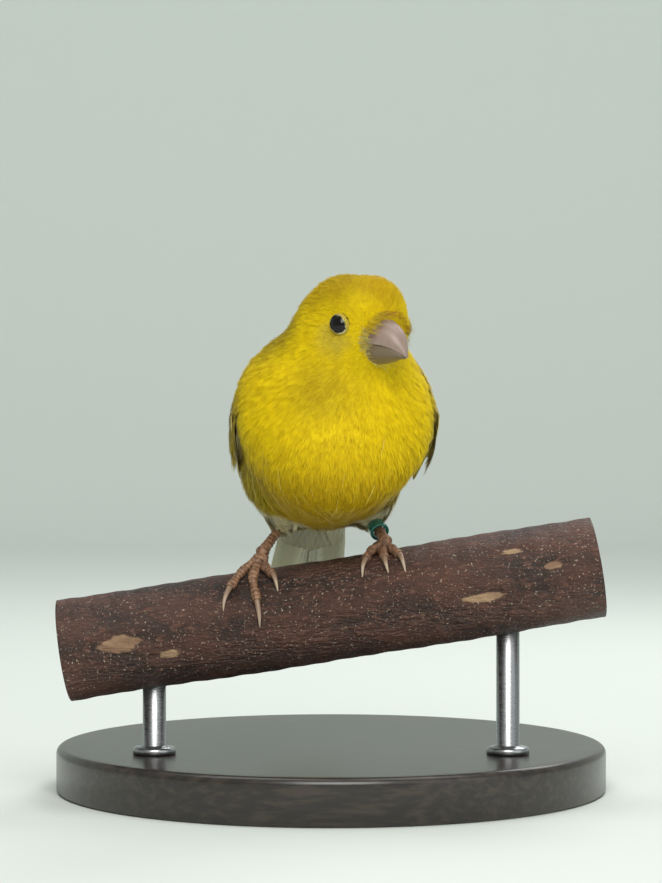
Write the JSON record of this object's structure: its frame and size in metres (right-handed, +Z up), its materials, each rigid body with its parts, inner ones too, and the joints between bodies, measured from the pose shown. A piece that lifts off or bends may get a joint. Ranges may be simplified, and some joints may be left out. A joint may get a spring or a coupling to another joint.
{
  "type": "canary on a perch",
  "caption": "Life-size yellow canary gripping a cut length of branch, head turned to its left, held over a round display base by short rods.",
  "frame": {"origin": "middle of the base's underside, which stands on the surface", "axes": "+Z up; the bird's breast faces -Y, its own left side is +X and its tail points to +Y"},
  "size_m": [0.122, 0.122, 0.1121],
  "materials": {
    "plumage": "soft bright yellow feathers, more ochre on the crown",
    "flight_feathers": "olive-grey vanes with pale yellow edges",
    "down": "cream down",
    "bill": "smooth pinkish horn",
    "eye": "wet black",
    "leg_skin": "scaly brown skin",
    "claw": "pale horn",
    "leg_ring": "plain green, shiny",
    "bark": "dark red-brown bark, rough, with peeled tan patches",
    "rod": "brushed",
    "base": "dark satin lacquer"
  },
  "bodies": {
    "root": {"head": "plumage", "neck": "plumage", "torso": "plumage", "tail": "flight_feathers", "wing_left": "flight_feathers", "wing_right": "flight_feathers", "thigh_left": "down", "thigh_right": "down", "bill_upper": "bill", "bill_lower": "bill", "eye_left": "eye", "eye_right": "eye", "shank_left": "leg_skin", "shank_right": "leg_skin", "foot_left": "leg_skin", "foot_right": "leg_skin", "claw_left_outer": "claw", "claw_left_middle": "claw", "claw_left_inner": "claw", "claw_left_hind": "claw", "claw_right_outer": "claw", "claw_right_middle": "claw", "claw_right_inner": "claw", "claw_right_hind": "claw", "leg_ring": "leg_ring", "perch": "bark", "stand_rod_left": "rod", "stand_rod_right": "rod", "stand_base": "base"}
  },
  "joints": []
}
